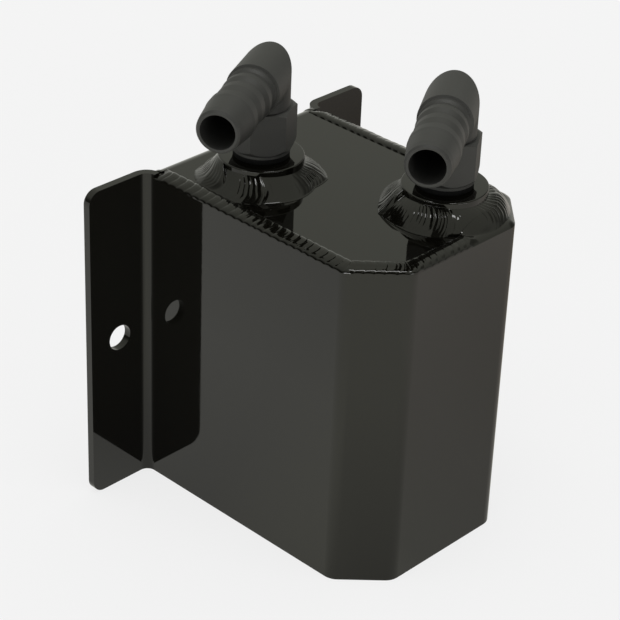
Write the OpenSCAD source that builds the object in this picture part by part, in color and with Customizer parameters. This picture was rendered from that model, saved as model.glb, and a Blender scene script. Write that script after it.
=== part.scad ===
// Oil catch can for an engine bay: a welded sheet tank that bolts up by two
// ears, with two moulded elbows that take push-on hose. Millimetres, +Z up.
// The origin is halfway between the two ear holes, on the mounting plane.

/* [Tank] */
// Width over the two side walls
tank_w = 85.5; // [80:0.5:120]
// Depth from the mounting plane to the front wall
tank_d = 117; // [112:0.5:160]
// Height of the ears and of the tank
tank_h = 128; // [100:1:200]
// Size of the sloping corners, measured along the side and along the front
corner_cut = 16; // [12:0.5:20]
// Thickness of the aluminium sheet
sheet_t = 3; // [2.5:0.1:3.5]
// Inside radius of every bend in the sheet
bend_r = 3.5; // [3.4:0.1:5]
// Step from the mounting plane to the back wall, so that its welds stay clear of what it is bolted to
back_set = 0.5; // [0.4:0.1:1.5]
// Height of the bottom plate above the lower edge of the walls
bottom_set = 3; // [3:0.5:12]
// Gap between a plate and the walls that it drops between
fit_gap = 0.1; // [0.05:0.05:0.2]

/* [Ears] */
// Width of each ear, out from the side wall
ear_w = 27.5; // [24:0.5:50]
// Radius of the outer corners of the ears
ear_corner_r = 5; // [2:0.5:10]
// Diameter of the bolt hole in each ear
ear_hole_d = 10; // [6:0.5:12]

/* [Hose elbows] */
// Distance of the left boss from the face of the left side wall
left_side = 28.55; // [26.8:0.05:32]
// Place of the left boss forward of the mounting plane
left_y = 31.9; // [30:0.1:36]
// Direction of the left hose tail, anticlockwise from +X
left_turn = 206.5; // [0:0.1:360]
// Distance of the right boss from the face of the right side wall
right_side = 25.65; // [25:0.05:32]
// Distance of the right boss from the face of the front wall
right_front = 25.3; // [25:0.05:31]
// Direction of the right hose tail, anticlockwise from +X
right_turn = 212; // [0:0.1:360]
// Radius of the elbow body and its neck
body_r = 9.9; // [9.5:0.05:10.4]
// Radius of the bore through the hose tail
bore_r = 6.35; // [5:0.05:6.6]
// Radius of the thread on the elbow
thread_r = 8.33; // [8:0.01:9]
// Length of the thread on the elbow
thread_l = 11; // [8:0.5:13]
// Hexagon of the elbow, across flats
hex_af = 22; // [21:0.5:24]
// Height of the hexagon
hex_h = 17.3; // [14:0.1:17.5]
// Height of the tail's axis above the boss
tail_z = 28.9; // [28.5:0.1:36]
// Distance from the neck's axis to the mouth of the hose tail
tail_l = 47.1; // [45:0.1:60]
// Radius of the hose tail at its mouth
mouth_r = 7.9; // [7.7:0.05:8.2]
// Radius of the largest barb, near the mouth
barb_r = 9.2; // [8.9:0.05:9.4]
// Radius of the hose tail between the barbs
root_r = 8.25; // [8:0.05:8.5]

/* [Bosses and seals] */
// Radius of the boss that each elbow screws into
boss_r = 15.6; // [14:0.1:16.5]
// Height of the boss above the top plate
boss_h = 9; // [8:0.5:14]
// Radius of the boss's spigot in the top plate
spigot_r = 12.5; // [11.5:0.1:13]
// Thickness of the sealing washer under the elbow
seal_t = 2; // [1:0.1:2.5]
// Radial play of the thread in its boss
thread_play = 0.05; // [0.02:0.01:0.1]

/* [Welds] */
// Width of the bead along the top edge
bead_w = 6.4; // [5:0.1:6.4]
// Height of that bead over a straight line from toe to toe
bead_rise = 1.5; // [1:0.1:2]
// How far the top plate stands above the edge of the walls, for the weld to fill
bead_prep = 1.5; // [1:0.1:2.5]
// Length of one ripple in the beads
ripple_l = 3.7; // [3:0.1:5]
// Height of a ripple
ripple_h = 0.3; // [0.1:0.05:0.5]
// Radius of the weld round a boss, where it meets the top plate
toe_r = 23.8; // [21:0.1:24]
// Height of that weld up the side of the boss
toe_h = 7; // [5:0.1:7.5]
// How much lower that weld is on its low side, as a part of its height
toe_fall = 0.35; // [0:0.05:0.5]
// Direction of that low side, anticlockwise from +X
toe_fall_turn = 25; // [0:1:360]
// Angle at which the weld round the left boss was begun
left_start = 40; // [0:1:360]
// Angle at which the weld round the right boss was begun
right_start = 75; // [0:1:360]
// Leg of the weld under the bottom plate
bottom_leg = 2.6; // [2:0.1:2.9]

/* [Baffle and drain] */
// Thickness of the baffle plate inside the tank
baffle_t = 2; // [1.5:0.1:3]
// Width of the baffle plate's two flanges
baffle_flange = 12; // [8:0.5:16]
// Gap between the bottom plate and the baffle plate, for oil to pass
baffle_gap = 24; // [20:1:40]
// Diameter of the holes in the baffle plate
baffle_hole_d = 6; // [4:0.5:7]
// Pitch of the holes in the baffle plate
baffle_pitch = 12; // [10:0.5:16]
// Distance of the drain from the face of the front wall
drain_front = 27; // [22:0.5:33]
// Radius of the drain plug's thread
drain_r = 6.6; // [5:0.1:8]
// Height of the drain bung inside the tank
drain_h = 11; // [9:0.5:16]
// Socket in the drain plug, across flats
drain_af = 7; // [5:0.5:8]

/* [Hidden] */
$fn = 64;

powder_black = "#161616";
moulded_black = "#2c2c2b";
rubber_black = "#1b1b1b";
bare_metal = "#b9bcc0";
brass_metal = "#b8a15a";

half_w = tank_w / 2;
half_h = tank_h / 2;
turn_r = sheet_t + bend_r;             // outside radius of a bend
slope_turn = 45;                       // turn of the sheet at each sloping corner
slope_tan = turn_r * tan(slope_turn / 2);
slope_arc = turn_r * slope_turn * PI / 180;
side_l = tank_d - turn_r - corner_cut - slope_tan;
slope_l = corner_cut * sqrt(2) - 2 * slope_tan;
front_l = tank_w - 2 * corner_cut - 2 * slope_tan;
wall_top = half_h - bead_prep;
plate_half = half_w - sheet_t - fit_gap;
plate_under = half_h - sheet_t;
floor_under = bottom_set - half_h;
floor_top = floor_under + sheet_t;
through = 1;                           // how far a cutting shape runs past what it cuts
left_at = [left_side - half_w, -left_y];
right_at = [half_w - right_side, right_front - tank_d];
baffle_y = -(left_at.y + right_at.y) / 2; // midway between the two bosses
drain_y = tank_d - drain_front;

// The outer face of the wrap, from the left ear's fold round to the right one,
// as five straight runs joined by bends. A place on it is its distance s along
// that face and its distance d inside it.
runs = [side_l, slope_l, front_l, slope_l, side_l];
function heading(i) = 270 + slope_turn * i;
function dir(a) = [cos(a), sin(a)];
function run_end(i) = run_from[i] + runs[i] * dir(heading(i));
function run_turn(i) = run_end(i) + turn_r * dir(heading(i) + 90);
function starts(i, p) = i == len(runs) ? [] :
    let (c = p + runs[i] * dir(heading(i)) + turn_r * dir(heading(i) + 90))
    concat([p], starts(i + 1, c + turn_r * dir(heading(i + 1) - 90)));
function sums(i, s) = i == len(runs) ? [] : concat([s], sums(i + 1, s + runs[i] + slope_arc));
run_from = starts(0, [-half_w, -turn_r]);
run_s = sums(0, 0);
path_l = run_s[len(runs) - 1] + side_l;
function run_at(s) = max([for (i = [0:len(runs) - 1]) if (s >= run_s[i] - 0.0001) i]);
function place(s, d) =
    let (i = run_at(s), u = s - run_s[i], a = heading(i))
    u <= runs[i] ? run_from[i] + u * dir(a) + d * dir(a + 90) :
    run_turn(i) + (turn_r - d) * dir(a - 90 + (u - runs[i]) / slope_arc * slope_turn);

// Outline of a plate between the walls, from the left to the right
bend_steps = 3;
marks = [for (i = [0:len(runs) - 1]) each concat([run_s[i] + runs[i] * 0.0001],
    i == len(runs) - 1 ? [path_l] :
    [for (k = [0:bend_steps - 1]) run_s[i] + runs[i] + slope_arc * k / bend_steps])];
function outline(d) = [for (s = marks) place(s, d)];

// Height of a boss weld above the top plate, in the direction a from its boss, v of the way to a
// free toe and u of the way to where it ends
toe_belly = 1.1;
least_toe = 0.15;
function weld_z(a, v, u) = max(least_toe, toe_belly * sin(180 * u) +
    toe_h * (1 - v) * (1 - toe_fall * (1 + cos(a - toe_fall_turn)) / 2));
// The right boss stands so near the corner that its weld runs on over the edge bead
function boss_rise(p) = let (q = p - right_at)
    weld_z(atan2(q.y, q.x), (norm(q) - boss_r) / (toe_r - boss_r), 0);

// A closed skin over rings of equal length, each ring one section
module skin(rings, loop = false) {
    n = len(rings[0]);
    m = len(rings);
    last = loop ? m - 1 : m - 2;
    sides = [for (j = [0:last], i = [0:n - 1])
        let (k = (j + 1) % m, h = (i + 1) % n)
        each [[j * n + i, k * n + i, k * n + h], [j * n + i, k * n + h, j * n + h]]];
    caps = loop ? [] : concat(
        [for (i = [1:n - 2]) [0, i, i + 1]],
        [for (i = [1:n - 2]) [(m - 1) * n, (m - 1) * n + i + 1, (m - 1) * n + i]]);
    polyhedron(points = [for (r = rings) each r], faces = concat(sides, caps), convexity = 6);
}

// One ripple of a weld: a short steep front and a long back
ripple_form = [0, 0.85, 1, 0.5];

module ear_half() {
    ear_in = half_w + bend_r;
    ear_out = half_w + ear_w;
    rotate([90, 0, 0]) linear_extrude(sheet_t) difference() {
        union() {
            translate([ear_in, -half_h]) square([ear_w - bend_r - ear_corner_r, tank_h]);
            translate([ear_in, ear_corner_r - half_h])
                square([ear_w - bend_r, tank_h - 2 * ear_corner_r]);
            for (z = [-1, 1]) translate([ear_out - ear_corner_r, z * (half_h - ear_corner_r)])
                circle(ear_corner_r);
        }
        translate([half_w + ear_w / 2, 0]) circle(d = ear_hole_d);
    }
}

module bend(angle, height) {
    rotate_extrude(angle = angle) translate([bend_r, 0]) square([sheet_t, height]);
}

// The walls in plan, filled in: all that lies inside the face at distance d from the outer one
module plan(d) {
    polygon(concat([[half_w - d, -turn_r], [d - half_w, -turn_r]],
        [for (i = [0:3]) each [run_end(i) + d * dir(heading(i) + 90),
            run_from[i + 1] + d * dir(heading(i + 1) + 90)]]));
    for (i = [0:3]) translate(run_turn(i)) circle(turn_r - d);
}

module shell_wrap() color(powder_black) {
    translate([0, 0, -half_h]) linear_extrude(wall_top + half_h) difference() {
        plan(0);
        plan(sheet_t);
    }
    for (m = [0, 1]) mirror([m, 0, 0]) {
        ear_half();
        translate([half_w + bend_r, -sheet_t - bend_r, -half_h]) rotate([0, 0, 90])
            bend(90, tank_h);
    }
}

module top_and_back() color(powder_black) difference() {
    union() {
        translate([0, 0, plate_under]) linear_extrude(sheet_t) polygon(concat(
            [[plate_half, -turn_r - back_set], [-plate_half, -turn_r - back_set]],
            [for (p = outline(sheet_t + fit_gap)) if (p.y < -turn_r - back_set) p]));
        translate([-plate_half, -turn_r - back_set, half_h - turn_r]) rotate([90, 0, 90])
            bend(90, 2 * plate_half);
        translate([-plate_half, -back_set - sheet_t, -half_h])
            cube([2 * plate_half, sheet_t, tank_h - turn_r]);
    }
    for (p = [left_at, right_at]) translate(concat(p, plate_under - through))
        cylinder(r = spigot_r + fit_gap, h = sheet_t + 2 * through);
}

module bottom_plate() color(powder_black) difference() {
    rear = -back_set - sheet_t - fit_gap;
    translate([0, 0, floor_under]) linear_extrude(sheet_t) polygon(concat(
        [[plate_half, rear], [-plate_half, rear]], outline(sheet_t + fit_gap)));
    translate([0, -drain_y, floor_under - through])
        cylinder(r = drain_r + fit_gap, h = sheet_t + 2 * through);
}

// A plate across the tank with rows of holes and a flange at each wall, for the vapour to
// shed its oil on; the air passes under it, over it and through its holes
baffle_top_gap = 6;
baffle_side_gap = 0.2;
module baffle_plate() color(bare_metal) {
    low = floor_top + baffle_gap;
    high = plate_under - baffle_top_gap;
    reach = plate_half - baffle_side_gap;
    cols = floor((reach - baffle_flange) / baffle_pitch);
    rows = floor((high - low) / baffle_pitch) - 1;
    mid = (low + high) / 2;
    difference() {
        translate([-reach, -baffle_y, low]) cube([2 * reach, baffle_t, high - low]);
        for (r = [0:rows - 1], c = [-cols:cols]) translate([c * baffle_pitch,
            -baffle_y - through, mid + (r - (rows - 1) / 2) * baffle_pitch]) rotate([-90, 0, 0])
            cylinder(d = baffle_hole_d, h = baffle_t + 2 * through);
    }
    for (m = [0, 1]) mirror([m, 0, 0])
        translate([reach - baffle_t, -baffle_y + baffle_t, low])
            cube([baffle_t, baffle_flange - baffle_t, high - low]);
}

// Small tacks in the corner between each flange's edge and the wall
tack_l = 8;
tack_at = [-0.3, 0.1, 0.5];            // places up the wall, as parts of half the height
module baffle_welds() color(bare_metal) {
    for (m = [0, 1], z = tack_at) mirror([m, 0, 0])
        translate([plate_half + fit_gap, -baffle_y + baffle_flange, z * half_h]) rotate([0, 0, 90])
            linear_extrude(tack_l) polygon([[0, 0], [baffle_t, 0], [0, baffle_t]]);
}

module boss_blank(at) {
    soft = 0.8;
    spigot_l = sheet_t + 1;
    translate(concat(at, half_h)) rotate_extrude() polygon([
        [thread_r + thread_play, -spigot_l], [spigot_r, -spigot_l], [spigot_r, 0],
        [boss_r, 0], [boss_r, boss_h - soft], [boss_r - soft, boss_h],
        [thread_r + thread_play + soft, boss_h], [thread_r + thread_play, boss_h - soft]]);
}
module boss_left() color(powder_black) boss_blank(left_at);
module boss_right() color(powder_black) boss_blank(right_at);

// Distance from a boss along an angle to the inner toe of the edge bead
function toe_limit(at, a) = min([for (i = [0:len(runs) - 1])
    let (n = dir(heading(i) + 90), gap = (at - run_from[i]) * n - bead_w, c = -(dir(a) * n))
    c > 0.01 ? gap / c : toe_r]);

// How far a boss weld reaches from its boss's axis; dabs laid one over the other leave creases
dabs = 5;
crease = 0.045;
function reach(at, a, first) =
    min(toe_r * (1 - crease * pow(abs(cos(dabs * (a - first) / 2)), 8)), toe_limit(at, a));

module boss_weld(at, first, runs_on) {
    ripples = round(PI * (boss_r + toe_r) / ripple_l);
    n = ripples * len(ripple_form);
    inner = (boss_r + 0.01) / cos(180 / n);
    steps = [0, 0.16, 0.34, 0.54, 0.76, 1];
    bow = 360 / ripples * 0.9;
    skin([for (j = [0:n - 1])
        let (a = first + 360 * j / n, lift = ripple_h * ripple_form[j % len(ripple_form)])
        concat([[inner * cos(a), inner * sin(a), 0]],
            [for (v = steps)
                let (b = a + bow * sin(180 * v), far = reach(at, b, first),
                     r = inner + (far - inner) * v,
                     part = runs_on ? (r - boss_r) / (toe_r - boss_r) : v)
                [r * cos(b), r * sin(b), weld_z(b, part, v) + lift * sin(180 * v)]],
            [let (far = reach(at, a, first)) [far * cos(a), far * sin(a), 0]])],
        loop = true);
}
module boss_weld_left() color(powder_black)
    translate(concat(left_at, half_h)) boss_weld(left_at, left_start, false);
module boss_weld_right() color(powder_black)
    translate(concat(right_at, half_h)) boss_weld(right_at, right_start, true);

// The bead along the top edge, from the left rear corner to the right one
module edge_weld() color(powder_black) {
    ripples = floor(path_l / ripple_l);
    n = ripples * len(ripple_form);
    bow = ripple_l * 0.6;                // how far a ripple's middle runs ahead of its ends
    fullness = 0.6;                      // 1 gives a parabola, less a fuller section
    most_sunk = 0.75;                    // crown lost where the boss weld runs on over the bead
    steps = [0, 0.08, 0.25, 0.5, 0.75, 0.94, 1];
    skin([for (j = [0:n])
        let (s = path_l * j / n, lift = ripple_h * ripple_form[j % len(ripple_form)],
             far = min(1, (path_l - s) / (3 * bow)),
             rise = boss_rise(place(s, bead_w)),
             crown = 1 - min(most_sunk, (rise - least_toe) / (2 * bead_rise)))
        concat([for (v = steps)
            let (at = place(s + bow * far * sin(180 * v), v * bead_w),
                 low = wall_top + (half_h + rise - wall_top) * v)
            [at.x, at.y, low + (bead_rise + lift) * crown * pow(4 * v * (1 - v), fullness)]],
            [for (q = [[bead_w, half_h], [sheet_t, half_h], [sheet_t, wall_top]])
                concat(place(s, q[0]), q[1])])]);
}

// The weld up each rear corner, in the groove between the back wall and the fold; its
// crown stays behind the mounting plane
module seam_weld() {
    crown = back_set - fit_gap;
    lap = 2;                             // onto the back wall
    slope = 0.8;                         // width of the crown's edge
    edge = plate_half + fit_gap;
    run = turn_r * 0.8;                  // into the groove
    difference() {
        union() {
            translate([0, 0, floor_under]) linear_extrude(half_h - turn_r - floor_under)
                polygon([[edge, -back_set - sheet_t], [edge, -back_set], [edge - lap, -back_set],
                    [edge - lap + slope, crown - back_set], [edge + run, crown - back_set],
                    [edge + run, -back_set - sheet_t]]);
            translate([edge, -turn_r - back_set, half_h - turn_r]) rotate([90, 0, 90])
                rotate_extrude(angle = 90) polygon([[bend_r, 0], [turn_r, 0], [turn_r, -lap],
                    [turn_r + crown, slope - lap], [turn_r + crown, run], [bend_r, run]]);
        }
        translate([half_w + bend_r, -turn_r, -half_h - through])
            cylinder(r = turn_r, h = tank_h + 2 * through);
        translate([edge, -2 * turn_r, -half_h]) cube([2 * turn_r, turn_r, 2 * tank_h]);
    }
}
module seam_weld_left() color(powder_black) mirror([1, 0, 0]) seam_weld();
module seam_weld_right() color(powder_black) seam_weld();

// The fillet under the bottom plate, all the way round inside the walls, a little hollow
module bottom_weld() color(powder_black) {
    rear = -back_set - sheet_t;
    edge = half_w - sheet_t;
    sag = 0.15;
    outer = concat([[-edge, rear]], outline(sheet_t), [[edge, rear]]);
    inner = concat([[bottom_leg - edge, rear - bottom_leg]], outline(sheet_t + bottom_leg),
        [[edge - bottom_leg, rear - bottom_leg]]);
    skin([for (i = [0:len(outer) - 1]) [
        concat(outer[i], floor_under), concat(outer[i], floor_under - bottom_leg),
        concat((outer[i] + inner[i]) / 2, floor_under - bottom_leg / 2 + sag),
        concat(inner[i], floor_under)]], loop = true);
}

// Shape of the hose tail along its axis, from the body's shoulder over three barbs to the mouth
shoulder = 11.3;
barb_from = [14, 22, 30];
barb_top = [17.4, 23.6, 32.2];
barb_to = [19.6, 26.8, 35.4];
barb_drop = [0.1, 0.4, 0];
module tail_form() {
    rim = 0.7;
    polygon(concat([[0, 0], [body_r, 0], [body_r, shoulder], [body_r - 0.8, shoulder + 0.5],
        [body_r - 0.9, barb_from[0] - 1]],
        [for (i = [0:2]) each [[root_r, barb_from[i]], [root_r, barb_from[i] + rim],
            [barb_r - barb_drop[i], barb_top[i]], [barb_r - barb_drop[i], barb_to[i]]]],
        [[barb_r - 0.25, barb_to[2] + 1.6], [mouth_r + 0.35, tail_l - 3], [mouth_r, tail_l - rim],
        [mouth_r - rim, tail_l], [0, tail_l]]));
}

// The elbow: thread, hexagon, neck and hose tail moulded in one, with a mitred turn
elbow_bore = bore_r - 0.4;
module elbow() {
    big = 4 * body_r;
    hex_r = hex_af / 2 / cos(30);
    turned_r = 10.45;
    foot = 1;
    flare = 2.6;
    corner = 1.9;
    top = seal_t + hex_h;
    difference() {
        union() {
            translate([0, 0, -thread_l]) cylinder(r = thread_r, h = thread_l + top - foot);
            intersection() {
                translate([0, 0, seal_t]) cylinder(r = hex_r, h = hex_h, $fn = 6);
                rotate_extrude() polygon([[0, seal_t], [turned_r, seal_t],
                    [turned_r, seal_t + foot], [hex_r + 0.2, seal_t + foot + flare],
                    [hex_r + 0.2, top - (corner + 0.2) * tan(30)], [hex_r - corner, top], [0, top]]);
            }
            difference() {
                translate([0, 0, top - foot]) cylinder(r = body_r, h = big);
                translate([0, 0, tail_z]) rotate([0, 45, 0])
                    translate([-big, -big, 0]) cube([2 * big, 2 * big, big]);
            }
            difference() {
                translate([-big / 2, 0, tail_z]) rotate([0, 90, 0])
                    cylinder(r = body_r, h = big / 2 + shoulder - foot);
                translate([0, 0, tail_z]) rotate([0, 45, 0])
                    translate([-big, -big, -big]) cube([2 * big, 2 * big, big]);
            }
            translate([0, 0, tail_z]) rotate([0, 90, 0]) difference() {
                rotate_extrude() tail_form();
                translate([-big, -big, -1]) cube([2 * big, 2 * big, shoulder]);
            }
        }
        translate([0, 0, tail_z]) rotate([0, 90, 0]) cylinder(r = bore_r, h = tail_l + 1);
        translate([0, 0, -thread_l - 1]) cylinder(r = elbow_bore, h = tail_z + thread_l + 1);
    }
}
module elbow_left() color(moulded_black)
    translate(concat(left_at, half_h + boss_h)) rotate([0, 0, left_turn]) elbow();
module elbow_right() color(moulded_black)
    translate(concat(right_at, half_h + boss_h)) rotate([0, 0, right_turn]) elbow();

seal_r = 10.2;
module seal(at) {
    translate(concat(at, half_h + boss_h)) difference() {
        cylinder(r = seal_r, h = seal_t);
        translate([0, 0, -through]) cylinder(r = thread_r + fit_gap, h = seal_t + 2 * through);
    }
}
module seal_left() color(rubber_black) seal(left_at);
module seal_right() color(rubber_black) seal(right_at);

// The drain: a bung welded inside the bottom plate and a plug that sits flush under it
bung_r = drain_r + 5;
bung_leg = 3;
socket_depth = 5;
module drain_bung() color(bare_metal) {
    translate([0, -drain_y, floor_top]) difference() {
        cylinder(r = bung_r, h = drain_h);
        translate([0, 0, -through])
            cylinder(r = drain_r + thread_play, h = drain_h + 2 * through);
    }
}

module bung_weld() color(bare_metal) {
    translate([0, -drain_y, floor_top]) rotate_extrude()
        polygon([[bung_r, 0], [bung_r + bung_leg, 0], [bung_r, bung_leg]]);
}

module drain_plug() color(brass_metal) {
    translate([0, -drain_y, floor_under]) difference() {
        cylinder(r = drain_r, h = drain_h);
        translate([0, 0, -through])
            cylinder(r = drain_af / 2 / cos(30), h = socket_depth + through, $fn = 6);
    }
}

shell_wrap();
top_and_back();
bottom_plate();
baffle_plate();
baffle_welds();
boss_left();
boss_right();
boss_weld_left();
boss_weld_right();
edge_weld();
seam_weld_left();
seam_weld_right();
bottom_weld();
elbow_left();
elbow_right();
seal_left();
seal_right();
drain_bung();
bung_weld();
drain_plug();
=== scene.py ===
"""Looks of the oil catch can: gloss powder coat, rippled welds, moulded elbows, pale studio."""

import math

import bpy
import numpy as np
from mathutils import Matrix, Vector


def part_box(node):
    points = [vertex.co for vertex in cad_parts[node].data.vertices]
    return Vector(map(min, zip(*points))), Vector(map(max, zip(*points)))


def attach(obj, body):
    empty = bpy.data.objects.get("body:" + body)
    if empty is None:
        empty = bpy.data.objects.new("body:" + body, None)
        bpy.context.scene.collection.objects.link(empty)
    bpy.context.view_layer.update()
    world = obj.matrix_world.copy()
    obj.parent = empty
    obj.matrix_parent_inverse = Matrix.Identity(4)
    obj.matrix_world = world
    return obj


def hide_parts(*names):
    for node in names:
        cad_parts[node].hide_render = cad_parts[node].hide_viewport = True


bl_info = {
    "name": "Oil catch can looks",
    "version": (1, 0, 0),
    "blender": (4, 5, 0),
    "location": "3D View > Sidebar > Catch can",
    "description": "Welds, elbows, finishes and studio for the oil catch can",
    "category": "Object",
}

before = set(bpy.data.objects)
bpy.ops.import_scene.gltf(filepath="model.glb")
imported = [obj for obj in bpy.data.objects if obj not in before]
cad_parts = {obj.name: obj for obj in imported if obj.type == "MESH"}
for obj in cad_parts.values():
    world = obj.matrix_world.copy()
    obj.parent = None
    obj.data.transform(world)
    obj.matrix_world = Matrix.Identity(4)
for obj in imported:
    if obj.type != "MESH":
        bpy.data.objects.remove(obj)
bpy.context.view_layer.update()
MM = 0.001


# Sizes and colours

def length(name, description, default):
    """A size in metres, from a figure in millimetres."""
    return bpy.props.FloatProperty(
        name=name, description=description, default=default * MM, unit="LENGTH", precision=5)


def colour(name, description, default):
    """A linear colour."""
    return bpy.props.FloatVectorProperty(
        name=name, description=description, default=default, subtype="COLOR", min=0, max=1)


class TankSizes(bpy.types.PropertyGroup):
    """Sizes of the folded tank that the welds follow."""
    width: length("Width", "Over the two side walls", 85.5)
    depth: length("Depth", "From the mounting plane to the front wall", 117)
    height: length("Height", "Of the ears and of the tank", 128)
    cut: length("Sloping corner", "Along the side and along the front", 16)
    sheet: length("Sheet", "Thickness of the sheet", 3)
    bend: length("Bend", "Inside radius of the bends", 3.5)


class WeldSizes(bpy.types.PropertyGroup):
    """Sizes of the welds."""
    bead_width: length("Bead width", "Of the bead along the top edge", 6.4)
    bead_rise: length("Bead rise", "Over a straight line from toe to toe", 1.5)
    bead_prep: length("Bead depth", "From the top plate to the walls' upper edge", 1.5)
    ripple: length("Ripple", "Length of one ripple in the edge bead", 3.7)
    ripple_height: length("Ripple height", "Of one ripple in the edge bead", 0.34)
    bead_bulge: length("Bead bulge", "How far the bead hangs over the wall", 0.28)
    corner_bulge: length("Corner bulge", "How much further it hangs at the left corner", 0.17)
    scallop: length("Scallop", "How far the grooves draw the bead's inner toe out", 0.3)
    boss_radius: length("Boss radius", "Of the bosses, which the welds go round", 15.6)
    dab_ripple: length("Dab ripple", "Height of the ripples in the boss welds", 0.22)
    dab_swell: length("Dab swell", "How much thicker a dab is at its end than at its start", 0.45)
    toe_radius: length("Toe radius", "Where a boss weld meets the top plate", 23.8)
    toe_height: length("Toe height", "Of a boss weld up the boss", 7)
    left_belly: length("Left belly", "Of the left boss's weld over a straight slope", 0.2)
    right_belly: length("Right belly", "Of the right boss's weld over a straight slope", 1.15)
    fall: bpy.props.FloatProperty(
        name="Fall", description="Part of its height that a boss weld loses on its low side",
        default=0.35, min=0, max=0.5)
    fall_turn: bpy.props.FloatProperty(
        name="Low side", description="Its direction from the boss", default=math.radians(25),
        unit="ROTATION")
    left_place: bpy.props.FloatVectorProperty(
        name="Left boss", description="Its place on the top plate", size=2,
        default=(-14.2 * MM, -31.9 * MM), unit="LENGTH")
    right_place: bpy.props.FloatVectorProperty(
        name="Right boss", description="Its place on the top plate", size=2,
        default=(17.1 * MM, -91.7 * MM), unit="LENGTH")


class BossSizes(bpy.types.PropertyGroup):
    """Sizes of the turned bosses, apart from their radius, which their welds share."""
    height: length("Height", "Over the top plate", 9)
    edge: length("Edge", "Radius of the rounded outer edge", 0.5)
    bore: length("Bore", "Radius of the bore", 8.38)
    chamfer: length("Chamfer", "At the mouth of the bore", 0.8)
    spigot_radius: length("Spigot radius", "Of the part in the plate", 12.5)
    spigot_length: length("Spigot length", "From the plate's upper face down", 4)


class FinishColours(bpy.types.PropertyGroup):
    """Colours of the finishes."""
    coat: colour("Powder coat", "Gloss black of the tank", (0.0020, 0.0018, 0.0011))
    moulding: colour("Moulding", "Dark grey of the elbows", (0.0220, 0.0221, 0.0203))
    rubber: colour("Rubber", "Of the sealing washers", (0.003, 0.003, 0.003))
    metal: colour("Bare metal", "Of the pieces inside", (0.60, 0.61, 0.62))
    brass: colour("Brass", "Of the drain plug", (0.62, 0.44, 0.17))


class StageSettings(bpy.types.PropertyGroup):
    """The studio, and what the gloss mirrors of it."""
    paper: colour("Paper", "Pale grey of floor and backdrop", (0.914, 0.914, 0.914))
    # The floor colours below glow for glossy rays only: a painted reflection of the floor, with painted
    # tints and a painted dark spot
    floor_left: colour("Floor left", "Mirrored, left of the can", (0.80, 0.80, 0.74))
    floor_right: colour("Floor right", "Mirrored, right of the can", (0.76, 0.72, 0.65))
    floor_near: colour("Floor near", "Mirrored, towards the camera", (0.95, 0.95, 0.82))
    # Painted shadow: the dark colour that the gloss mirrors of the floor close to the can
    painted_shadow_foot: colour("Floor foot", "Mirrored, close to the can", (0.37, 0.37, 0.34))
    floor_spot: colour("Floor spot", "Mirrored, in a spot far to the right", (0.28, 0.25, 0.21))
    room_low: colour("Room low", "Mirrored, at the height of the can", (0.36, 0.37, 0.33))
    room_high: colour("Room high", "Mirrored, overhead", (0.64, 0.65, 0.55))
    room_behind: colour("Room behind", "Mirrored, low down behind the can", (0.74, 0.75, 0.68))
    lamp_power: bpy.props.FloatProperty(
        name="Lamp power", description="Of which each lamp has its part", default=2.0,
        unit="POWER")


def sizes(name):
    """The scene's settings of one group."""
    return getattr(bpy.context.scene, name)


# Shader maths and finishes

class Wire:
    """One output of a node; sums on it add Math nodes."""

    def __init__(self, finish, socket):
        self.finish, self.socket = finish, socket

    def _math(self, operation, *values):
        return self.finish.node("Math", {"operation": operation}, dict(enumerate(values)))

    def __add__(self, other):
        return self._math("ADD", self, other)

    def __sub__(self, other):
        return self._math("SUBTRACT", self, other)

    def __rsub__(self, other):
        return self._math("SUBTRACT", other, self)

    def __mul__(self, other):
        return self._math("MULTIPLY", self, other)

    def __pow__(self, other):
        return self._math("POWER", self, other)

    __radd__, __rmul__ = __add__, __mul__

    def other(self, out):
        """Another output of the same node."""
        return Wire(self.finish, self.socket.node.outputs[out])

    def above(self, low, high):
        """0 at low, 1 at high, straight between."""
        return self.finish.node("MapRange", {"clamp": True}, {
            "Value": self, "From Min": low, "From Max": high})


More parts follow.
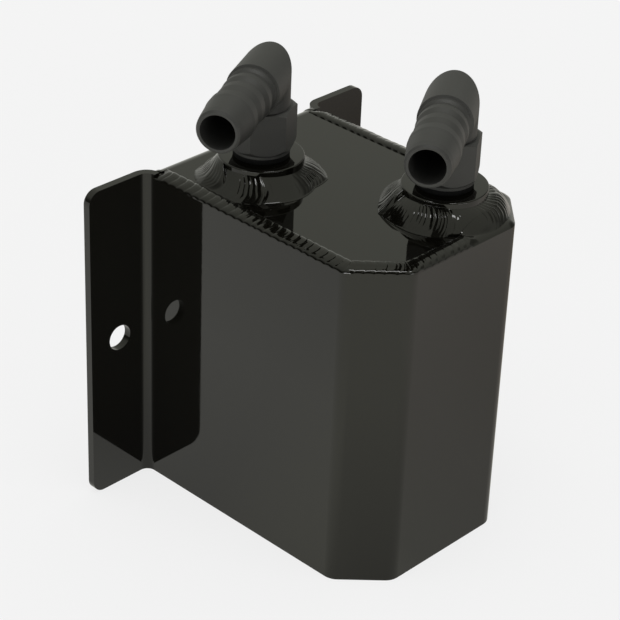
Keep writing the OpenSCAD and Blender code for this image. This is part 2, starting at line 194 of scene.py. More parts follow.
class Finish:
    """A node tree written as expressions."""

    def __init__(self, owner):
        owner.use_nodes = True
        self.tree = owner.node_tree
        self.tree.nodes.clear()

    def dot(self, vector, x, y, z):
        """The vector's part along x, y, z."""
        return self.node("VectorMath", {"operation": "DOT_PRODUCT"}, {
            0: vector, 1: (x, y, z)}, "Value")

    def distance(self, place, x, y, z):
        """How far the place is from x, y, z."""
        return self.node("VectorMath", {"operation": "DISTANCE"}, {
            0: place, 1: (x, y, z)}, "Value")

    def larger(self, first, second):
        """The larger of two values."""
        return self.node("Math", {"operation": "MAXIMUM"}, {0: first, 1: second})

    def node(self, kind, settings=None, sockets=None, out=0):
        """A node of that kind, its settings set first and then its sockets; gives one output."""
        made = self.tree.nodes.new("ShaderNode" + kind)
        for name, value in (settings or {}).items():
            setattr(made, name, value)
        for name, value in (sockets or {}).items():
            if isinstance(value, Wire):
                self.tree.links.new(value.socket, made.inputs[name])
            else:
                made.inputs[name].default_value = value
        return Wire(self, made.outputs[out])

    def noise(self, place, scale, detail, roughness):
        """Soft noise, 0 to 1, with scale features in a metre."""
        return self.node("TexNoise", None, {
            "Vector": place, "Scale": scale, "Detail": detail, "Roughness": roughness})

    def mix(self, factor, first, second):
        """One colour turning into another. The Mix node's colours are its inputs 6 and 7 and its
        output 2."""
        return self.node("Mix", {"data_type": "RGBA"}, {0: factor, 6: first, 7: second}, 2)

    def bump(self, height, distance, strength):
        """A bump of that many metres where height is 1, weakened by strength."""
        return self.node("Bump", None, {
            "Height": height, "Distance": distance, "Strength": strength})

    def stretched_noise(self, place, scales, detail, roughness):
        """Soft noise with its own count of features in a metre along each axis."""
        stretched = self.node("Mapping", None, {"Vector": place, "Scale": scales})
        return self.noise(stretched, 1.0, detail, roughness)

    def end(self, shader, kind="Material"):
        """Links the shader to the output."""
        made = self.tree.nodes.new("ShaderNodeOutput" + kind)
        self.tree.links.new(shader.socket, made.inputs["Surface"])


def rgba(value):
    """A colour with full alpha."""
    return (*value, 1.0)


def shade(tint, share):
    """A colour made darker or lighter by that share."""
    return rgba([c * share for c in tint])


def gloss_coat():
    """Gloss black powder coat: near-black under a clear skin, with a faint orange peel, a slow
    wave of the sheet, a few dull patches and fine specks."""
    material = bpy.data.materials.new("gloss_powder_coat")
    f = Finish(material)
    place = f.node("TexCoord", out="Object")
    peel = f.noise(place, scale=420, detail=2.0, roughness=0.4)
    wave = f.noise(place, scale=22, detail=1.0, roughness=0.3)
    haze = f.noise(place, scale=60, detail=3.0, roughness=0.6)
    speck = f.noise(place, scale=2600, detail=1.0, roughness=0.5).above(0.74, 0.80)
    tint = sizes("can_finish").coat
    f.end(f.node("BsdfPrincipled", None, {
        "Base Color": f.mix(haze.above(0.3, 0.7) * 0.5, shade(tint, 1.0), shade(tint, 1.25)),
        "Roughness": 0.035 + haze.above(0.45, 0.8) * 0.03 + speck * 0.06,
        "IOR": 1.5,
        "Normal": f.bump(peel * 0.25 + wave, 0.03 * MM, 0.35)}))
    return material


def satin_moulding():
    """Dark grey glass-filled nylon: satin, with a fine grain and slow flow marks."""
    material = bpy.data.materials.new("satin_moulding")
    f = Finish(material)
    place = f.node("TexCoord", out="Object")
    grain = f.noise(place, scale=2200, detail=2.0, roughness=0.6)
    flow = f.stretched_noise(place, (60, 60, 200), detail=3.0, roughness=0.6)
    tint = sizes("can_finish").moulding
    f.end(f.node("BsdfPrincipled", None, {
        "Base Color": f.mix(flow.above(0.3, 0.7), shade(tint, 0.86), shade(tint, 1.14)),
        "Roughness": 0.50 + flow.above(0.2, 0.8) * 0.07 + grain.above(0.3, 0.8) * 0.06,
        "IOR": 1.53,
        "Normal": f.bump(grain + flow * 0.6, 0.02 * MM, 0.5)}))
    return material


def matt_rubber():
    """Matt black rubber with a dusty skin."""
    material = bpy.data.materials.new("matt_rubber")
    f = Finish(material)
    dust = f.noise(f.node("TexCoord", out="Object"), scale=900, detail=3.0, roughness=0.6)
    tint = sizes("can_finish").rubber
    f.end(f.node("BsdfPrincipled", None, {
        "Base Color": f.mix(dust.above(0.5, 0.8), shade(tint, 1.0), shade(tint, 2.2)),
        "Roughness": 0.68 + dust * 0.15,
        "IOR": 1.5,
        "Specular IOR Level": 0.12,
        "Normal": f.bump(dust, 0.02 * MM, 0.5)}))
    return material


def bare_metal(name, tint, rough):
    """Bare or turned metal: fine lines along X and a few dull patches."""
    material = bpy.data.materials.new(name)
    f = Finish(material)
    place = f.node("TexCoord", out="Object")
    lines = f.stretched_noise(place, (60, 900, 900), detail=3.0, roughness=0.6)
    patch = f.noise(place, scale=80, detail=3.0, roughness=0.6)
    f.end(f.node("BsdfPrincipled", None, {
        "Base Color": f.mix(patch.above(0.35, 0.75), shade(tint, 1.0), shade(tint, 0.82)),
        "Metallic": 1.0,
        "Roughness": rough + lines.above(0.3, 0.7) * 0.12 + patch * 0.08,
        "Normal": f.bump(lines, 0.02 * MM, 0.4)}))
    return material


# Surfaces

def dress(obj, material):
    """Gives an object one material."""
    obj.data.materials.clear()
    obj.data.materials.append(material)


def surface(name, grid, loop_rows, material, node, sharp=60):
    """A coated piece from a grid of points, which stands for a node. The grid is an array (rows,
    columns, 3): row i joins row i + 1 and column j joins column j + 1, the last column joins the
    first, and so does the last row where loop_rows says so. Faces turn so that rows to columns is
    the outward side. Corners sharper than that many degrees stay crisp."""
    rows, columns = grid.shape[:2]
    index = np.arange(rows * columns).reshape(rows, columns)
    here, down = (index, np.roll(index, -1, 0)) if loop_rows else (index[:-1], index[1:])
    quads = [here, down, np.roll(down, -1, 1), np.roll(here, -1, 1)]
    faces, points = np.stack(quads, -1).reshape(-1, 4), grid.reshape(-1, 3)
    mesh = bpy.data.meshes.new(name)
    mesh.vertices.add(len(points))
    mesh.vertices.foreach_set("co", points.astype(np.float32).ravel())
    mesh.loops.add(faces.size)
    mesh.loops.foreach_set("vertex_index", faces.ravel().astype(np.int32))
    mesh.polygons.add(len(faces))
    mesh.polygons.foreach_set("loop_start", np.arange(0, faces.size, 4, dtype=np.int32))
    mesh.polygons.foreach_set("use_smooth", np.ones(len(faces), bool))
    mesh.update(calc_edges=True)
    mesh.validate()
    mesh.set_sharp_from_angle(angle=math.radians(sharp))
    obj = bpy.data.objects.new(name, mesh)
    bpy.context.scene.collection.objects.link(obj)
    dress(obj, material)
    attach(obj, "root")
    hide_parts(node)


def ease(v):
    """0 below 0, 1 above 1, smooth between."""
    v = np.clip(v, 0, 1)
    return v * v * (3 - 2 * v)


def hash_wave(seed, x, pitch=1.0):
    """Smooth noise along x from -1 to 1: a random value at each whole pitch, eased between."""
    rng = np.random.default_rng(seed)
    values = rng.uniform(-1, 1, 512)
    t = x / pitch
    i = np.floor(t).astype(int)
    return values[i % 512] * (1 - ease(t - i)) + values[(i + 1) % 512] * ease(t - i)


class WrapPath:
    """The outer face of the folded wall: five straight runs joined by 45 degree bends. at(s, d)
    gives the point a distance s along that face and d inside it, and out(s) its outward normal."""

    def __init__(self, tank):
        turn = tank.sheet + tank.bend
        tan = turn * math.tan(math.radians(22.5))
        side = tank.depth - turn - tank.cut - tan
        slope = tank.cut * math.sqrt(2) - 2 * tan
        front = tank.width - 2 * tank.cut - 2 * tan
        self.turn, self.arc = turn, turn * math.radians(45)
        self.runs = np.array([side, slope, front, slope, side])
        self.heads = np.radians(270 + 45 * np.arange(5))
        start, froms, lengths, s = np.array([-tank.width / 2, -turn]), [], [], 0.0
        for run, head in zip(self.runs, self.heads):
            froms.append(start)
            lengths.append(s)
            centre = start + run * self.dir(head) + turn * self.dir(head + np.pi / 2)
            start = centre + turn * self.dir(head + np.radians(45) - np.pi / 2)
            s += run + self.arc
        self.froms, self.starts = np.array(froms), np.array(lengths)
        self.length = lengths[-1] + side

    @staticmethod
    def dir(angle):
        return np.stack([np.cos(angle), np.sin(angle)], -1)

    def out(self, s):
        i = np.clip(np.searchsorted(self.starts, s, "right") - 1, 0, 4)
        bent = np.clip((s - self.starts[i] - self.runs[i]) / self.arc, 0, 1) * np.radians(45)
        return self.dir(self.heads[i] - np.pi / 2 + bent)

    def at(self, s, d):
        i = np.clip(np.searchsorted(self.starts, s, "right") - 1, 0, 4)
        u = s - self.starts[i]
        head = self.heads[i]
        straight = self.froms[i] + np.minimum(u, self.runs[i])[..., None] * self.dir(head)
        centre = straight + self.turn * self.dir(head + np.pi / 2)
        return centre + (self.turn - d)[..., None] * self.out(s)


def ripple(phase, skew=0.75):
    """One ripple of a weld, 0 to 1: a round bump with a sharp groove on each side."""
    p = (phase - np.floor(phase)) ** skew
    return 1 - np.abs(2 * p - 1) ** 2.2


def boss_weld_height(weld, angle, v, belly):
    """Height of a boss weld above the top plate in a direction from its boss, v of the way to a free
    toe: a straight slope and a belly, lower on one side, and a thin film beyond the toe."""
    fall = weld.fall * (1 + np.cos(angle - weld.fall_turn)) / 2
    bulge = belly * np.sin(np.pi * np.clip(v, 0, 1))
    return np.maximum(FILM, bulge + weld.toe_height * (1 - v) * (1 - fall))


def round_right_boss(points, weld):
    """Direction of points from the right boss, and their part of the way to its weld's toe."""
    x, y = points[..., 0] - weld.right_place[0], points[..., 1] - weld.right_place[1]
    part = (np.hypot(x, y) - weld.boss_radius) / (weld.toe_radius - weld.boss_radius)
    return np.arctan2(y, x), part


def run_on_height(points, weld):
    """Height that the right boss's weld has where it runs on over the edge bead."""
    return boss_weld_height(weld, *round_right_boss(points, weld), weld.right_belly)


# Least thickness of a weld above the plate, and the distance between two sections of the edge bead
FILM, BEAD_STEP = 0.15 * MM, 0.26 * MM

# Over what length the edge bead comes up to its full height
BEAD_FADE = 5 * MM

# How bold the edge bead's ripples are at distances in mm along it
BEAD_BOLDNESS = ((0, 1.0), (30, 1.0), (42, 1.1), (84, 0.9), (92, 0.4), (112, 0.35), (122, 0.5),
                 (160, 0.45), (175, 0.45), (290, 0.5))

# The dabs of each boss weld, in the order they lie: the direction in degrees where one ends, how
# far its end climbs the boss in mm, how far its front bows in degrees, how bold its ripples are
# and how many degrees each of them takes
LEFT_DABS = ((-20, 0.4, 9, 1.9, 6.5), (62, 0.4, 9, 0.8, 5.3), (166, 1.8, 14, 0.9, 4.8),
             (223, 0.3, 6, 1.1, 7.2))
RIGHT_DABS = ((-26, 0.4, 9, 1.9, 6.8), (55, 0.4, 9, 0.8, 5.3), (152, 1.8, 3, 0.9, 4.4),
              (221, 0.3, 4, 1.0, 5.2))

# How far each boss weld's toe stands outside its circle, in mm, by direction in degrees
LEFT_TOE = ((60, 0), (90, -0.8), (117, -1.2), (132, 0.4), (150, 0), (262, 0), (290, -1.5),
            (310, 0.7), (332, -0.8))
RIGHT_TOE = ((60, 0), (90, -0.8), (118, -1.4), (135, -1.0), (154, 0.7), (180, 0.9), (212, 0.8),
             (228, 0))

# First seed of each boss weld's noise; its four waves use this one and the next three
LEFT_SEED, RIGHT_SEED = 21, 34

# Degrees over which a dab's front drops, its end swells and its end climbs the boss
FRONT_DROP, SWELL_REACH, CLIMB_REACH = 6, 42, 40


def dab_relief(dabs, weld, angle, part, seed):
    """How a boss weld swells, 0 to 1, and how far it stands over its plain slope, in a direction
    from its boss and a part of the way to its toe. It is laid in dabs. A dab swells towards its end,
    where it climbs the boss, and drops in a short round front onto the next one; its ripples bow as
    its front does, and are boldest towards its end and just past its front."""
    ends, climbs, bows, bolds, pitches = np.array(dabs).T
    around = (np.degrees(angle) - ends[0]) % 360
    part = np.clip(part, 0, 1)
    marks = np.append(ends - ends[0], 360)
    bow = np.interp(around, marks, np.append(bows, bows[0]))
    behind = (around - bow * np.sin(np.pi * part)) % 360
    i = np.minimum(np.searchsorted(marks, behind, "right"), len(ends)) - 1
    following = (i + 1) % len(ends)
    since, left = behind - marks[i], marks[i + 1] - behind
    along = since / (marks[i + 1] - marks[i])
    drop = 1 - ease(since / FRONT_DROP)
    swell = np.maximum(ease(1.3 - left / SWELL_REACH), drop)
    climb = np.maximum(climbs[following] * ease(1.7 - left / CLIMB_REACH), climbs[i] * drop)
    past_front = 0.5 * bolds[i] * (1 - ease((since - 8) / 10))
    bold = np.maximum(bolds[following] * ease((along - 0.30) / 0.3), past_front)
    laid = left / pitches[following]
    phase = laid + 0.45 * hash_wave(seed, laid, 2.0) + 0.25 * hash_wave(seed + 1, part * 4)
    lift = weld.dab_ripple * (0.12 + bold) * (ripple(phase) - 0.4) + weld.dab_swell * (swell - 0.6)
    lift = lift + 0.05 * MM * hash_wave(seed + 2, around / 3) * hash_wave(seed + 3, part * 5)
    return swell, climb * MM * (1 - part) ** 1.5 + lift * np.sin(np.pi * part) ** 0.7


def edge_bead(path, tank, weld, material):
    """The bead along the top edge. Across it the section is an arch from the outer toe, which bulges
    a little over the wall, to the inner toe on the plate, which the ripples scallop. Along it the
    arch swells with each ripple, whose front bows forward in the middle. Where the right boss's weld
    runs on over it, the arch turns into that weld's slope and ripples, and falls to the wall's edge
    in its outer half."""
    s = np.arange(0, path.length, BEAD_STEP)
    outer, middle, inner = np.linspace(0, 0.12, 5), np.linspace(0.12, 0.88, 20), np.linspace(0.88, 1, 4)
    S, V = np.meshgrid(s, np.concatenate([outer[:-1], middle, inner[1:]]), indexing="ij")
    top = tank.height / 2
    wall_top = top - weld.bead_prep
    ends = ease(np.minimum(S, path.length - S) / BEAD_FADE)
    corner = ease((S - path.starts[1]) / BEAD_FADE + 1) * (1 - ease((S - path.starts[2]) / BEAD_FADE))

    # Ripples
    wander = hash_wave(3, S, 9 * MM)
    bowed = S - 0.45 * weld.ripple * np.sin(np.pi * V)
    phase = bowed / weld.ripple + 0.20 * hash_wave(5, S, 6 * MM)
    marks, boldness = np.array(BEAD_BOLDNESS).T
    bold = np.interp(S, marks * MM, boldness) * (0.8 + 0.2 * hash_wave(8, S, 3.7 * MM))
    lift = weld.ripple_height * bold * (ripple(phase) - 0.5) + 0.04 * MM * ripple(phase * 3, 1)

    # Where the right boss's weld runs on: its height at the bead's inner toe says how far
    rise = run_on_height(path.at(s, 0 * s + weld.bead_width), weld)[:, None]
    run_on = ease((rise - 0.5 * MM) / (1.5 * MM))
    crown = 1 - np.minimum(1, (rise - FILM) / (2 * weld.bead_rise))

    # Plan and height
    hang = (weld.bead_bulge + weld.corner_bulge * corner) * (1 - run_on) * np.sin(
        np.pi * np.clip(V / 0.4, 0, 1)) * (0.8 + 0.4 * ripple(phase))
    scallop = weld.scallop * (1 - ripple(phase)) * V ** 4 * (1 - run_on)
    plan = path.at(S, V * weld.bead_width - (hang + scallop) * ends)
    angle, part = round_right_boss(plan, weld)
    relief = dab_relief(RIGHT_DABS, weld, angle, part, RIGHT_SEED)[1]
    sloped = run_on_height(plan, weld)
    fall = (weld.bead_prep + sloped) * np.clip(1 - V / 0.55, 0, 1) ** 2
    low = (wall_top + (top + rise - wall_top) * V) * (1 - run_on) + (top + sloped - fall) * run_on
    arch = (4 * V * (1 - V)) ** (0.6 - 0.24 * corner + 0.6 * run_on)
    own = (weld.bead_rise * (0.98 + 0.08 * wander) * crown + lift * (1 - run_on)) * arch
    z = low + own * (0.35 + 0.65 * ends) + relief * run_on

    # The skin, closed by the plate's edge and the wall's edge under it
    skin = np.concatenate([plan, z[..., None]], -1)
    under = np.array([[weld.bead_width, top], [tank.sheet, top], [tank.sheet, wall_top]])
    base = np.stack([np.concatenate([path.at(s, 0 * s + d), 0 * s[:, None] + h], -1)
                     for d, h in under], 1)
    ring = np.concatenate([skin, base], 1)
    surface("edge_bead", capped(ring), False, material, "edge_weld")


def capped(ring):
    """Closes a swept section at both ends by drawing its first and last rows to their middles."""
    middle = ring.mean(1, keepdims=True)
    first, last = np.broadcast_to(middle[:1], ring[:1].shape), np.broadcast_to(
        middle[-1:], ring[-1:].shape)
    return np.concatenate([first, ring, last], 0)[::-1]


def toe_limit(path, place, angle, bead_width):
    """Distance from a boss along an angle to the inner toe of the edge bead."""
    best = np.full(angle.shape, 1.0)
    for start, head in zip(path.froms, path.heads):
        n = path.dir(head + np.pi / 2)
        gap = (np.array(place) - start) @ n - bead_width
        closing = -(path.dir(angle) @ n)
        best = np.where(closing > 0.01, np.minimum(best, gap / np.maximum(closing, 0.01)), best)
    return best


def boss_bead(name, path, tank, weld, material, place, belly, dabs, toe, runs_on, node, seed):
    """The weld round a boss: a ring whose section slopes with a belly from the boss down to the
    plate, or to the edge bead where that is nearer, with the relief of its dabs. Its toe is a circle
    that is a little smaller where the weld is thin, and out of round as the toe's table says."""
    around = np.radians(dabs[0][0]) + np.linspace(0, 2 * np.pi, 1700, endpoint=False)
    angle, V = np.meshgrid(around, np.linspace(0, 1, 30), indexing="ij")
    swell = dab_relief(dabs, weld, angle, V, seed)[0]
    directions, offsets = np.array(toe).T
    free = weld.toe_radius * (1 - 0.035 * (1 - swell)) + MM * np.interp(
        np.degrees(angle), directions, offsets, period=360)
    reach = np.minimum(free, toe_limit(path, place, angle, weld.bead_width))
    start = weld.boss_radius + 0.01 * MM
    r = start + (reach - start) * V
    whole = np.maximum(free, weld.toe_radius) - weld.boss_radius
    part = (r - weld.boss_radius) / whole if runs_on else V
    relief = dab_relief(dabs, weld, angle, part, seed)[1]
    height = np.maximum(boss_weld_height(weld, angle, part, belly) + relief, 0.05 * MM)
    skin = np.stack([place[0] + r * np.cos(angle), place[1] + r * np.sin(angle),
                     tank.height / 2 + height], -1)
    foot = skin[:, [-1, 0]].copy()
    foot[..., 2] = tank.height / 2
    ring = np.concatenate([skin, foot], 1)
    surface(name, ring, True, material, node)


def boss_turning(name, tank, boss, radius, material, place, node):
    """A turned boss: its section is carried round its axis. The section has a rounded outer edge, a
    chamfer at the bore and a spigot through the plate."""
    turn = np.linspace(np.pi / 2, 0, 9)
    edge = np.stack([radius - boss.edge * (1 - np.cos(turn)),
                     boss.height - boss.edge * (1 - np.sin(turn))], -1)
    section = np.concatenate([
        [[boss.bore, -boss.spigot_length], [boss.bore, boss.height - boss.chamfer],
         [boss.bore + boss.chamfer, boss.height]], edge,
        [[radius, 0], [boss.spigot_radius, 0], [boss.spigot_radius, -boss.spigot_length]]])
    around = np.linspace(0, 2 * np.pi, 192, endpoint=False)[:, None]
    out, up = section.T
    grid = np.stack([place[0] + out * np.cos(around), place[1] + out * np.sin(around),
                     tank.height / 2 + up + 0 * around], -1)
    surface(name, grid, True, material, node, sharp=35)


# Operators

def finish_material(name, maker):
    """The material of that name, made the first time."""
    return bpy.data.materials.get(name) or maker()


def coat():
    """The tank's powder coat, one material for all its pieces."""
    return finish_material("gloss_powder_coat", gloss_coat)


class CoatSheets(bpy.types.Operator):
    """Coats the folded sheets, the bottom plate and the plain welds"""
    bl_idname = "can.coat_sheets"
    bl_label = "Coat sheets"

    def execute(self, context):
        for node in ("shell_wrap", "top_and_back", "bottom_plate",
                     "seam_weld_left", "seam_weld_right", "bottom_weld"):
            dress(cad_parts[node], coat())
        return {"FINISHED"}


class LayEdgeBead(bpy.types.Operator):
    """Lays the rippled bead along the top edge"""
    bl_idname = "can.lay_edge_bead"
    bl_label = "Lay edge bead"

    def execute(self, context):
        tank, weld = sizes("can_tank"), sizes("can_weld")
        edge_bead(WrapPath(tank), tank, weld, coat())
        return {"FINISHED"}


class TurnBosses(bpy.types.Operator):
    """Turns the two bosses"""
    bl_idname = "can.turn_bosses"
    bl_label = "Turn bosses"

    def execute(self, context):
        tank, weld, boss = sizes("can_tank"), sizes("can_weld"), sizes("can_boss")
        boss_turning("turned_boss_left", tank, boss, weld.boss_radius, coat(),
                     weld.left_place, "boss_left")
        boss_turning("turned_boss_right", tank, boss, weld.boss_radius, coat(),
                     weld.right_place, "boss_right")
        return {"FINISHED"}


class LayBossWelds(bpy.types.Operator):
    """Lays the welds round the two bosses"""
    bl_idname = "can.lay_boss_welds"
    bl_label = "Lay boss welds"

    def execute(self, context):
        tank, weld = sizes("can_tank"), sizes("can_weld")
        path = WrapPath(tank)
        boss_bead("boss_bead_left", path, tank, weld, coat(), weld.left_place, weld.left_belly,
                  LEFT_DABS, LEFT_TOE, False, "boss_weld_left", LEFT_SEED)
        boss_bead("boss_bead_right", path, tank, weld, coat(), weld.right_place, weld.right_belly,
                  RIGHT_DABS, RIGHT_TOE, True, "boss_weld_right", RIGHT_SEED)
        return {"FINISHED"}


class FitElbows(bpy.types.Operator):
    """Finishes the two elbows and their seals"""
    bl_idname = "can.fit_elbows"
    bl_label = "Fit elbows"

    def execute(self, context):
        nylon = finish_material("satin_moulding", satin_moulding)
        rubber = finish_material("matt_rubber", matt_rubber)
        for side in ("left", "right"):
            dress(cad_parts["elbow_" + side], nylon)
            dress(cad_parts["seal_" + side], rubber)
        return {"FINISHED"}


class FinishInside(bpy.types.Operator):
    """Finishes the baffle and the drain"""
    bl_idname = "can.finish_inside"
    bl_label = "Finish inside"

    def execute(self, context):
        colours = sizes("can_finish")
        mill = bare_metal("mill_metal", colours.metal, rough=0.3)
        for node in ("baffle_plate", "baffle_welds", "drain_bung", "bung_weld"):
            dress(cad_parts[node], mill)
        dress(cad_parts["drain_plug"], bare_metal("turned_brass", colours.brass, rough=0.22))
        return {"FINISHED"}


# The photograph's camera: where it stands in degrees, its roll, its focal length in widths of the
# picture, and where it sees the foot of the mounting plane's middle, in mm right, up and back of it
AZIMUTH, ELEVATION, ROLL = -46.851, 30.415, 2.363
FOCAL_LENGTH = 2190.171 / 620
FOOT_SEEN = (-35.15264, -44.9152, -879.04896)

# Level directions: to the camera, and across the picture to the right
TO_CAMERA, TO_RIGHT = (-0.73, -0.68, 0), (0.68, -0.73, 0)

# Share of the floor's own glow in what the camera sees of it; the rest shows the can's shadow
FLOOR_GLOW = 0.86

# Lamps: name, part of the lamp power, length, width, place and the direction its width runs in
LAMPS = (("overhead", 1.25, 0.62, 0.165, (-0.075, -0.13, 0.98), TO_CAMERA),
         ("left_strip", 0.6, 0.80, 0.06, (-1.013, -0.308, 0.0), (0, 0, 1)),
         ("front_strip", 0.3, 0.38, 0.06, (-0.008, -1.0, 0.0), (0, 0, 1)))
AIMED_AT = (0, -0.06, 0.05)


def posed(obj, turn, place):
    """Puts a camera or a lamp in the scene, with its three axes as the columns of turn."""
    pose = np.eye(4)
    pose[:3, :3], pose[:3, 3] = turn, place
    obj.matrix_world = Matrix(pose.tolist())
    bpy.context.scene.collection.objects.link(obj)
    return obj


def camera_turn(azimuth, elevation, roll):
    """Turns a camera as the photograph's: it looks back along the direction with that azimuth
    and elevation, then rolls about its own axis."""
    a, e = math.radians(azimuth), math.radians(elevation)
    back = np.array([math.sin(a) * math.cos(e), -math.cos(a) * math.cos(e), math.sin(e)])
    right = np.cross(-back, [0, 0, 1])
    right /= np.linalg.norm(right)
    up = np.cross(back, right)
    c, s = math.cos(math.radians(roll)), math.sin(math.radians(roll))
    return np.stack([c * right + s * up, c * up - s * right, back], 1)


def make_camera(low):
    """The photograph's camera, above a floor at that height."""
    turn = camera_turn(AZIMUTH, ELEVATION, ROLL)
    data = bpy.data.cameras.new("camera")
    data.sensor_width = 36
    data.lens = FOCAL_LENGTH * data.sensor_width
    data.clip_start, data.clip_end = 0.01, 50
    where = -turn @ np.array(FOOT_SEEN) * MM + np.array([0, 0, low])
    bpy.context.scene.camera = posed(bpy.data.objects.new("camera", data), turn, where)


def mirrored_floor(f, stage, low, place, from_can):
    """Colour that the gloss mirrors of the floor: a painted reflection, since the floor glows in it for
    glossy rays only.
    It is dark close to the can, a painted shadow, and opens up further out, with another tint to the
    right and towards the camera, and a dark spot far to the right, all painted too."""
    aside = f.node("SeparateXYZ", None, {"Vector": f.node(
        "VectorMath", {"operation": "ABSOLUTE"}, {0: from_can})})
    half_width, half_depth = 43 * MM, 59 * MM
    away = f.larger(aside.other("X") - half_width, aside.other("Y") - half_depth)
    heading = f.node("VectorMath", {"operation": "NORMALIZE"}, {0: from_can})
    to_right = f.dot(heading, 0.73, -0.68, 0).above(-0.2, 0.6)
    to_camera = f.dot(heading, -0.707, -0.707, 0).above(0.3, 1.0)
    spot = f.distance(place, 0.27, -0.05, low).above(0.08, 0.24)
    # opening is 0 in the painted shadow close to the can and 1 further out
    opening = (away.above(-0.035, 0.085) ** 0.5 * (1 - to_right)
               + away.above(-0.06, 0.16) * to_right)
    tint = f.mix(to_right, rgba(stage.floor_left), rgba(stage.floor_right))
    tint = f.mix(to_camera, tint, rgba(stage.floor_near))
    tint = f.mix(opening, rgba(stage.painted_shadow_foot), tint)
    return f.mix(spot, rgba(stage.floor_spot), tint)


def make_floor(stage, low):
    """A pale floor. The camera sees its paper colour and the can's shadow. The gloss mirrors a painted
    reflection of it:
    for glossy rays it glows in its own colours, with a painted shadow close to the can."""
    size = 6.0
    mesh = bpy.data.meshes.new("floor")
    mesh.from_pydata([(-size, -size, low), (size, -size, low), (size, size, low),
                      (-size, size, low)], [], [(0, 1, 2, 3)])
    floor = bpy.data.objects.new("floor", mesh)
    bpy.context.scene.collection.objects.link(floor)
    material = bpy.data.materials.new("pale_floor")
    f = Finish(material)
    rays = f.node("LightPath")
    is_camera, is_glossy = rays.other("Is Camera Ray"), rays.other("Is Glossy Ray")
    place = f.node("TexCoord", out="Object")
    from_can = f.node("VectorMath", {"operation": "SUBTRACT"}, {0: place, 1: (0, -58 * MM, low)})
    far = f.node("VectorMath", {"operation": "LENGTH"}, {0: from_can}, "Value").above(0.30, 0.65)
    # For glossy rays the floor glows in painted colours: a painted reflection, with a painted shadow
    # close to the can
    shown = f.mix(is_glossy, rgba(stage.paper), mirrored_floor(f, stage, low, place, from_can))
    lit = f.node("BsdfDiffuse", None, {"Color": rgba([0.8] * 3)})
    glow = f.node("Emission", None, {"Color": shown, "Strength": 1.0})
    f.end(f.node("MixShader", None, {
        0: is_camera * (FLOOR_GLOW + far * (1 - FLOOR_GLOW)) + is_glossy, 1: lit, 2: glow}))
    dress(floor, material)


def mirrored_room(f, stage, towards, high):
    """Colour that the gloss mirrors of the room: paler overhead and low down behind, and dark low
    down at the front, in an upright wedge behind the camera and in a card on the right."""
    front = f.dot(towards, -0.80, -0.60, 0).above(-0.15, 0.25) * (1 - high.above(0.25, 0.55))
    aside = f.node("Math", {"operation": "ABSOLUTE"}, {0: f.dot(towards, *TO_RIGHT)})
    wedge = (f.dot(towards, *TO_CAMERA) * 0.30 - aside).above(-0.03, 0.04) * (
        1 - high.above(0.86, 0.95))
    card = f.dot(towards, 0.93, -0.20, 0.30).above(0.90, 0.97) * 0.7
    dark = f.larger(f.larger(front, wedge), card)
    behind = f.dot(towards, 0.70, 0.71, 0).above(0.0, 0.5) * (1 - high.above(0.12, 0.38))
    pale = f.mix(high.above(-0.1, 0.9), rgba(stage.room_low), rgba(stage.room_high))
    pale = f.mix(behind, pale, rgba(stage.room_behind))
    return f.mix(dark * 0.9, pale, rgba([0.0, 0.0, 0.0]))


def make_world(stage):
    """The room: the paper colour to the camera, its own colours to the gloss, and plain light,
    stronger from above, on everything else."""
    world = bpy.data.worlds.new("studio")
    bpy.context.scene.world = world
    f = Finish(world)
    towards = f.node("TexCoord", out="Generated")
    high = f.dot(towards, 0, 0, 1)
    plain = f.node("Background", None, {
        "Color": rgba([1, 1, 1]), "Strength": 0.62 + high.above(-0.2, 0.9) * 0.30})
    shown = f.node("Background", None, {"Color": rgba(stage.paper), "Strength": 1.0})
    gloss = f.node("Background", None, {
        "Color": mirrored_room(f, stage, towards, high), "Strength": 1.0})
    rays = f.node("LightPath")
    light = f.node("MixShader", None, {0: rays.other("Is Glossy Ray"), 1: plain, 2: gloss})
    f.end(f.node("MixShader", None, {
        0: rays.other("Is Camera Ray"), 1: light, 2: shown}), "World")


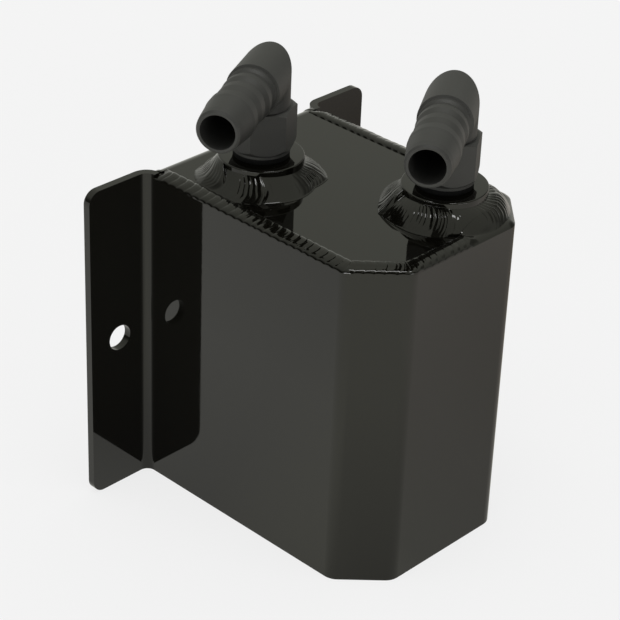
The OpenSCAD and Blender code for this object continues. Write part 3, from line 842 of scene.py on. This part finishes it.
def make_lamps(stage):
    """The lamps: a strip overhead and one low down on each side of the camera."""
    for name, share, long_side, wide_side, place, width_way in LAMPS:
        data = bpy.data.lights.new(name, "AREA")
        data.shape, data.size, data.size_y = "RECTANGLE", long_side, wide_side
        data.energy = stage.lamp_power * share
        away = np.array(place) - np.array(AIMED_AT)
        away = away / np.linalg.norm(away)
        side = np.cross(width_way, away)
        side /= np.linalg.norm(side)
        turn = np.stack([side, np.cross(away, side), away], 1)
        posed(bpy.data.objects.new(name, data), turn, place)


class SetStage(bpy.types.Operator):
    """Makes the camera, the floor, the pale surroundings and the lamps"""
    bl_idname = "can.set_stage"
    bl_label = "Set stage"

    def execute(self, context):
        context.scene.view_settings.view_transform = "Standard"
        stage = sizes("can_stage")
        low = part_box("shell_wrap")[0].z
        make_camera(low)
        make_floor(stage, low)
        make_world(stage)
        make_lamps(stage)
        return {"FINISHED"}


class CanPanel(bpy.types.Panel):
    """Lists the steps that dress the catch can"""
    bl_idname = "VIEW3D_PT_catch_can"
    bl_label = "Catch can"
    bl_space_type = "VIEW_3D"
    bl_region_type = "UI"
    bl_category = "Catch can"

    def draw(self, context):
        for step in STEPS:
            self.layout.operator(step.bl_idname)
        for name in GROUPS:
            box = self.layout.box()
            group = sizes(name)
            for key in group.bl_rna.properties.keys()[2:]:
                box.prop(group, key)


STEPS = (SetStage, CoatSheets, LayEdgeBead, TurnBosses, LayBossWelds, FitElbows, FinishInside)
GROUPS = {"can_tank": TankSizes, "can_weld": WeldSizes, "can_boss": BossSizes,
          "can_finish": FinishColours, "can_stage": StageSettings}


def register():
    for cls in (*GROUPS.values(), *STEPS, CanPanel):
        bpy.utils.register_class(cls)
    for name, cls in GROUPS.items():
        setattr(bpy.types.Scene, name, bpy.props.PointerProperty(type=cls))


def unregister():
    for name in GROUPS:
        delattr(bpy.types.Scene, name)
    for cls in reversed((*GROUPS.values(), *STEPS, CanPanel)):
        bpy.utils.unregister_class(cls)


def main():
    register()
    bpy.ops.can.set_stage()
    bpy.ops.can.coat_sheets()
    bpy.ops.can.lay_edge_bead()
    bpy.ops.can.turn_bosses()
    bpy.ops.can.lay_boss_welds()
    bpy.ops.can.fit_elbows()
    bpy.ops.can.finish_inside()


if __name__ == "__main__":
    main()
